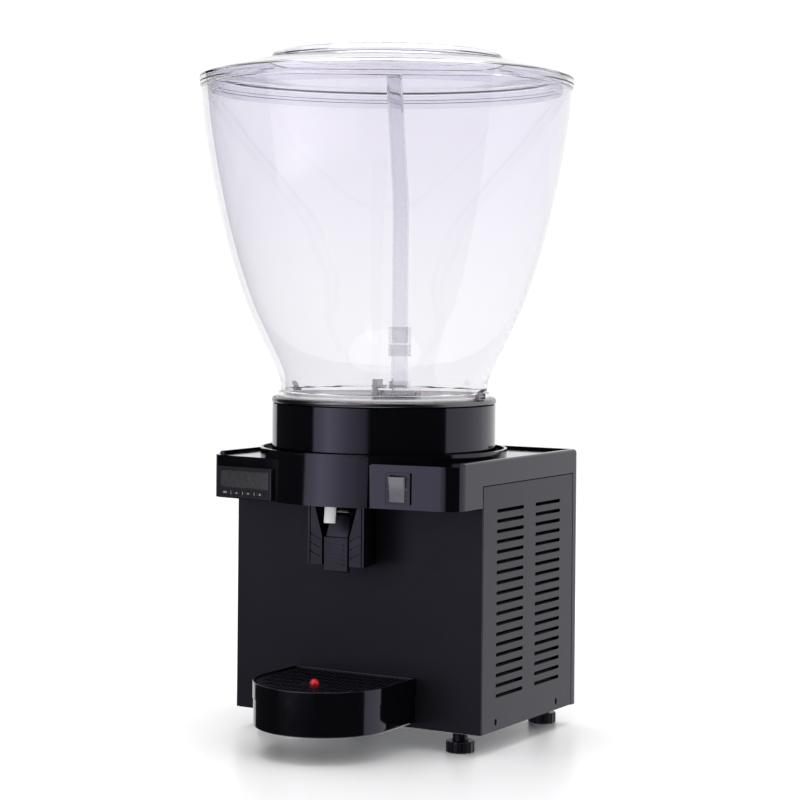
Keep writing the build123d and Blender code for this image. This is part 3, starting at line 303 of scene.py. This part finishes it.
BLACK = (0.0016, 0.0015, 0.0021)
VIOLET = (0.78, 0.74, 1.0, 1.0)     # tint of the reflections in the black mouldings
MATERIALS = {
    "cover_gloss": plastic("cover_gloss", BLACK, 0.09, spread=0.02, grain=260.0, depth=0.000004,
                           Specular_IOR_Level=0.5, Specular_Tint=VIOLET),
    "panel_satin": plastic("panel_satin", (0.0048, 0.0045, 0.006), 0.42, spread=0.03, grain=1400.0,
                           depth=0.00003, Specular_IOR_Level=0.26, Specular_Tint=VIOLET),
    "side_satin": plastic("side_satin", (0.0042, 0.004, 0.0062), 0.3, spread=0.03, grain=1400.0,
                          depth=0.00002, Specular_IOR_Level=0.36, Specular_Tint=VIOLET),
    "black_plastic": plastic("black_plastic", BLACK, 0.36, spread=0.05, grain=1100.0, depth=0.00003,
                             Specular_Tint=VIOLET),
    "controller_black": plastic("controller_black", (0.006, 0.0056, 0.007), 0.24, grain=1300.0,
                                Specular_Tint=VIOLET),
    "tray_gloss": plastic("tray_gloss", BLACK, 0.1, spread=0.03, grain=300.0, depth=0.000005,
                          Specular_Tint=VIOLET),
    "rubber_black": plastic("rubber_black", (0.012, 0.012, 0.013), 0.75, grain=700.0, depth=0.00005),
    "grey_plastic": plastic("grey_plastic", (0.42, 0.42, 0.45), 0.3, vary=0.06),
    "silicone_white": plastic("silicone_white", (0.75, 0.74, 0.76), 0.42, vary=0.04, grain=500.0,
                              Subsurface_Weight=0.4, Subsurface_Scale=0.003),
    "float_red": plastic("float_red", (0.55, 0.012, 0.02), 0.16, vary=0.12, grain=500.0),
    "key_print": plastic("key_print", (0.006, 0.0056, 0.007), 0.34, vary=0.1, grain=1600.0),
    "key_mark": plastic("key_mark", (0.3, 0.29, 0.33), 0.5, vary=0.1, grain=1600.0),
    "display_bar": plastic("display_bar", (0.42, 0.38, 0.36), 0.4, vary=0.08, grain=1600.0),
    "compressor_paint": plastic("compressor_paint", (0.012, 0.012, 0.014), 0.3, grain=320.0,
                                depth=0.00006),
    "ferrite": plastic("ferrite", (0.03, 0.03, 0.033), 0.5, grain=800.0, depth=0.00005),
    "stainless": turned_stainless(),
    "latch_steel": metal("latch_steel", (0.22, 0.215, 0.23), 0.3, (1, 1, 12)),
    "motor_steel": metal("motor_steel", (0.5, 0.5, 0.52), 0.38, (1, 1, 8)),
    "spring_steel": metal("spring_steel", (0.55, 0.55, 0.58), 0.3, (6, 6, 1)),
    "aluminium_fin": metal("aluminium_fin", (0.7, 0.71, 0.73), 0.36, (1, 5, 1), 250.0, 0.00004),
    # the second colour of each clear material is the painted shade at the top of the part
    "clear_bowl": clear_plastic("clear_bowl", (0.93, 0.925, 0.945, 1), (0.885, 0.873, 0.925, 1),
                                (0.74, 0.73, 0.79, 1), 0.0, 1.49, 0.00001),
    "clear_tube": clear_plastic("clear_tube", (0.9, 0.9, 0.92, 1), (0.87, 0.87, 0.9, 1),
                                (0.55, 0.55, 0.58, 1), 0.04, 1.4, 0.00002),
    "galvanised": galvanised(),
    "rocker_light": rocker_light(),
    "display_tint": smoked_window(),
    "foam": foam_material(),
    "copper": copper_material(),
}


def paint_nodes():
    """Every CAD node's plain colour is exchanged for the detailed material of the same slot."""
    for node in NODES.values():
        for slot in node.material_slots:
            slot.material = MATERIALS[slot.material.name.split(".")[0]]


# ---------------------------------------------------------------- pieces
def centre(node):
    low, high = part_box(node)
    return (low + high) / 2


def add_piece(name, mesh, finish, body, soften_above=None):
    """A visual piece with one of the materials, that moves with a body."""
    mesh.materials.append(MATERIALS[finish])
    if soften_above is not None:
        mesh.shade_smooth()
        mesh.set_sharp_from_angle(angle=radians(soften_above))
    piece = bpy.data.objects.new(name, mesh)
    bpy.context.scene.collection.objects.link(piece)
    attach(piece, body)
    return piece


def smooth_path(points, steps=8):
    """Points on a Catmull-Rom curve through the given (radius, height) points."""
    padded = [points[0]] + list(points) + [points[-1]]
    path = []
    for before, start, end, after in zip(padded, padded[1:], padded[2:], padded[3:]):
        for step in range(steps):
            t = step / steps
            path.append(tuple(
                0.5 * (
                    2 * b + (c - a) * t + (2 * a - 5 * b + 4 * c - d) * t * t
                    + (3 * b - a - 3 * c + d) * t ** 3
                )
                for a, b, c, d in zip(before, start, end, after)
            ))
    return path + [points[-1]]


def bent_path(points, steps=12):
    """Points on the parabola that passes the start, middle and end."""
    start, middle, end = points
    pull = [2 * m - (a + b) / 2 for a, m, b in zip(start, middle, end)]
    path = []
    for step in range(steps + 1):
        t = step / steps
        path.append(tuple(
            (1 - t) ** 2 * a + 2 * t * (1 - t) * p + t * t * b for a, p, b in zip(start, pull, end)
        ))
    return path


def turned_mesh(name, profile, steps=192):
    """Solid of revolution about the bowl's axis from a closed profile of (radius, height) in mm."""
    shape = bmesh.new()
    rings = []
    for radius, height in profile:
        count = steps if radius > 0 else 1
        angles = [radians(360 * step / steps) for step in range(count)]
        rings.append([
            shape.verts.new((radius * MM * cos(angle), radius * MM * sin(angle), height * MM))
            for angle in angles
        ])
    for ring, following in zip(rings, rings[1:] + rings[:1]):
        for step in range(steps):
            ahead = step + 1
            corners = [
                ring[step % len(ring)], following[step % len(following)],
                following[ahead % len(following)], ring[ahead % len(ring)],
            ]
            corners = list(dict.fromkeys(corners))
            if len(corners) > 2:
                shape.faces.new(corners)
    return finished_mesh(name, shape)


def make_bowl():
    outside = smooth_path(BOWL_FLARE)
    inside = [(radius - BOWL_WALL, height) for radius, height in reversed(outside)]
    profile = BOWL_FOOT + [NECK_CORNER] + outside + BOWL_RIM + inside
    bowl = add_piece("bowl_wall", turned_mesh("bowl_wall", profile), "clear_bowl", "bowl", SHARP_ANGLE)
    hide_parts("bowl")
    return bowl


def make_lid():
    profile = LID_RIM[:-1] + bent_path(LID_SHOULDER) + bent_path(LID_CROWN) + LID_CENTRE
    profile += bent_path(LID_SHOULDER_UNDER) + LID_PLUG
    lid = add_piece("lid_shell", turned_mesh("lid_shell", profile), "clear_bowl", "lid", SHARP_ANGLE)
    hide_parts("lid")
    return lid


def facet_turn():
    """Axes of the controller's facet: right along it, up, and outwards."""
    sweep = radians(FACET_SWEEP)
    right = Vector((cos(sweep), -sin(sweep), 0))
    outward = Vector((-sin(sweep), -cos(sweep), 0))
    return right, Vector((0, 0, 1)), outward


def add_prism(shape, under, over):
    """Closed prism between two loops of places that match point for point."""
    under = [shape.verts.new(place) for place in under]
    over = [shape.verts.new(place) for place in over]
    shape.faces.new(over)
    shape.faces.new(list(reversed(under)))
    for index in range(len(under)):
        ahead = (index + 1) % len(under)
        shape.faces.new([under[index], under[ahead], over[ahead], over[index]])


def finished_mesh(name, shape):
    bmesh.ops.recalc_face_normals(shape, faces=shape.faces)
    mesh = bpy.data.meshes.new(name)
    shape.to_mesh(mesh)
    shape.free()
    return mesh


def facet_plate(name, place, outlines, low, high, finish, body):
    """Thin plates on the controller's facet, from outlines of (right, up) in mm about a place."""
    right, up, outward = facet_turn()
    shape = bmesh.new()
    for outline in outlines:
        under, over = (
            [place + (right * x + up * y + outward * depth) * MM for x, y in outline] for depth in (low, high)
        )
        add_prism(shape, under, over)
    return add_piece(name, finished_mesh(name, shape), finish, body)


def bar_outline(x, y, width, height, chamfer=0.1):
    half_w, half_h = width / 2, height / 2
    return [
        (x - half_w + chamfer, y - half_h), (x + half_w - chamfer, y - half_h),
        (x + half_w, y - half_h + chamfer), (x + half_w, y + half_h - chamfer),
        (x + half_w - chamfer, y + half_h), (x - half_w + chamfer, y + half_h),
        (x - half_w, y + half_h - chamfer), (x - half_w, y - half_h + chamfer),
    ]


def make_key_marks():
    """Plain printed marks on the four keys: a double bar, an up arrow, a down arrow and a small square."""
    marks = [
        [bar_outline(0, 0.6, 4.6, 0.6), bar_outline(0, -0.6, 4.6, 0.6)],
        [[(-1.3, -0.8), (1.3, -0.8), (0.1, 0.9), (-0.1, 0.9)]],
        [[(-0.1, -0.9), (0.1, -0.9), (1.3, 0.8), (-1.3, 0.8)]],
        [bar_outline(0, 0, 1.8, 1.8)],
    ]
    for number, outlines in enumerate(marks, start=1):
        place = centre(f"controller_key_{number}")
        facet_plate(f"key_mark_{number}", place, outlines, 1.08, 1.18, "key_mark", f"key_{number}")


def make_controller_marks():
    """Fine upright separators between the keys and a column of small lamps beside the digits."""
    place = centre("controller_key_1")
    separators = [bar_outline(KEY_PITCH * (gap + 0.5), 0, 0.5, 3.6) for gap in range(3)]
    facet_plate("key_separators", place, separators, 0.86, 0.96, "key_mark", "cabinet")
    place = centre("controller_digits")
    lamps = [bar_outline(-26.5, level, 1.5, 1.5, 0.4) for level in (-2.6, 1.4, 5.4)]
    facet_plate("status_lamps", place, lamps, -0.4, 0.4, "display_bar", "cabinet")


def make_louvre_shade_sheets():
    """Dark sheets behind the louvres of both sides: painted shade that keeps the view through the louvres
    dark.
    """
    (y0, y1), (z0, z1), cut = SHADE_SHEET_Y, SHADE_SHEET_Z, SHADE_SHEET_CORNER
    outline = [
        (y0, z0 + cut), (y0 + cut, z0), (y1 - cut, z0), (y1, z0 + cut),
        (y1, z1 - cut), (y1 - cut, z1), (y0 + cut, z1), (y0, z1 - cut),
    ]
    # painted shade: dark sheets so the view through the louvres stays dark
    for name, x in SHADE_SHEET_PLACES.items():
        shape = bmesh.new()
        near, far = (
            [(level * MM, y * MM, z * MM) for y, z in outline] for level in (x, x + SHADE_SHEET_THICKNESS)
        )
        add_prism(shape, near, far)
        add_piece(name, finished_mesh(name, shape), "rubber_black", "cabinet")


# ---------------------------------------------------------------- studio and camera
def make_camera():
    data = bpy.data.cameras.new("camera")
    data.lens = CAMERA_LENS
    data.sensor_width = 36.0
    data.shift_x, data.shift_y = CAMERA_SHIFT
    data.clip_end = 100.0
    camera = bpy.data.objects.new("camera", data)
    bpy.context.scene.collection.objects.link(camera)
    turn = Matrix.Rotation(radians(CAMERA_YAW), 4, "Z") @ Matrix.Rotation(radians(90.0), 4, "X")
    roll = Matrix.Rotation(radians(CAMERA_ROLL), 4, "Z")
    camera.matrix_world = Matrix.Translation(CAMERA_PLACE) @ turn @ roll
    bpy.context.scene.camera = camera


def make_floor():
    material, tree, shader = new_material("floor_paper", Roughness=0.32, Specular_IOR_Level=0.4)
    grain = noise(tree, object_place(tree), 3.0, 2.0)
    link(tree, mixed(tree, grain, (0.86, 0.86, 0.87, 1), (0.9, 0.9, 0.91, 1)), shader, "Base Color")
    mesh = bpy.data.meshes.new("floor")
    corners = [(x * FLOOR_REACH, y * FLOOR_REACH, 0) for x, y in ((-1, -1), (1, -1), (1, 1), (-1, 1))]
    mesh.from_pydata(corners, [], [(0, 1, 2, 3)])
    mesh.materials.append(material)
    floor = bpy.data.objects.new("floor", mesh)
    bpy.context.scene.collection.objects.link(floor)
    floor.visible_glossy = False


def surround_material():
    """Light that the surround gives off: shade, with a softbox that dims towards its right and its foot."""
    material = bpy.data.materials.new("surround")
    material.use_nodes = True
    tree = material.node_tree
    tree.nodes.clear()
    split = add_node(tree, "ShaderNodeSeparateXYZ", {0: object_place(tree)})
    back = math_node(tree, "MULTIPLY", split.outputs[1], -1.0)
    angle = math_node(tree, "ARCTAN2", split.outputs[0], back)
    first, last = SOFTBOX_PROFILE[0][0], SOFTBOX_PROFILE[-1][0]
    along = map_range(tree, angle, radians(first), radians(last))
    ramp = add_node(tree, "ShaderNodeValToRGB", {0: along})
    elements = ramp.color_ramp.elements
    for degrees, _ in SOFTBOX_PROFILE[1:-1]:
        elements.new((degrees - first) / (last - first))
    for element, (_, radiance) in zip(elements, SOFTBOX_PROFILE):
        level = radiance / SOFTBOX_PEAK
        element.color = (level, level, level, 1.0)
    across = math_node(tree, "MULTIPLY", ramp.outputs["Color"], SOFTBOX_PEAK)
    foot = map_range(tree, split.outputs[2], -0.61, -0.26, 0.04, 1.0, smooth=True)
    lit = math_node(tree, "MULTIPLY", across, foot)
    strength = math_node(tree, "MAXIMUM", lit, SHADE_RADIANCE)
    inputs = {"Color": (0.96, 0.93, 1.0, 1.0), "Strength": strength}
    glow = add_node(tree, "ShaderNodeEmission", inputs)
    output = add_node(tree, "ShaderNodeOutputMaterial")
    tree.links.new(glow.outputs[0], output.inputs["Surface"])
    return material


def make_surround():
    mesh = bpy.data.meshes.new("surround")
    steps = 48
    points = []
    for step in range(steps + 1):
        angle = radians(SHADE_FROM + (SHADE_TO - SHADE_FROM) * step / steps)
        around = Matrix.Rotation(angle, 3, "Z") @ Vector((0, -SURROUND_R, 0))
        points += [(around.x, around.y, SURROUND_LOW), (around.x, around.y, SURROUND_HIGH)]
    faces = [(2 * i, 2 * i + 2, 2 * i + 3, 2 * i + 1) for i in range(steps)]
    mesh.from_pydata(points, [], faces)
    mesh.materials.append(surround_material())
    wall = bpy.data.objects.new("surround", mesh)
    bpy.context.scene.collection.objects.link(wall)
    wall.visible_camera = False
    wall.visible_diffuse = False
    wall.visible_transmission = False
    wall.visible_shadow = False


def make_lights():
    world = bpy.data.worlds.new("studio")
    world.use_nodes = True
    background = world.node_tree.nodes["Background"]
    background.inputs["Color"].default_value = (1.0, 1.0, 1.0, 1.0)
    background.inputs["Strength"].default_value = WORLD_STRENGTH
    bpy.context.scene.world = world
    lamp = bpy.data.lights.new("overhead", "AREA")
    lamp.shape = "SQUARE"
    lamp.size = LAMP_SIZE
    lamp.energy = LAMP_POWER
    overhead = bpy.data.objects.new("overhead", lamp)
    overhead.location = LAMP_PLACE
    bpy.context.scene.collection.objects.link(overhead)


def set_view():
    scene = bpy.context.scene
    scene.view_settings.view_transform = "Standard"
    scene.cycles.use_denoising = True
    scene.cycles.caustics_reflective = False
    scene.cycles.caustics_refractive = False


def clear_for_light(*pieces):
    """Clear parts let the light through to what is behind and under them."""
    nodes = ("fountain_tube_upper", "fountain_tube_lower", "tube_sleeve", "pump_housing")
    for piece in list(pieces) + [NODES[name] for name in nodes]:
        piece.visible_shadow = False
        piece.visible_diffuse = False


paint_nodes()
bowl_piece = make_bowl()
lid_piece = make_lid()
make_key_marks()
make_controller_marks()
make_louvre_shade_sheets()
make_camera()
make_floor()
make_surround()
make_lights()
set_view()
clear_for_light(bowl_piece, lid_piece)
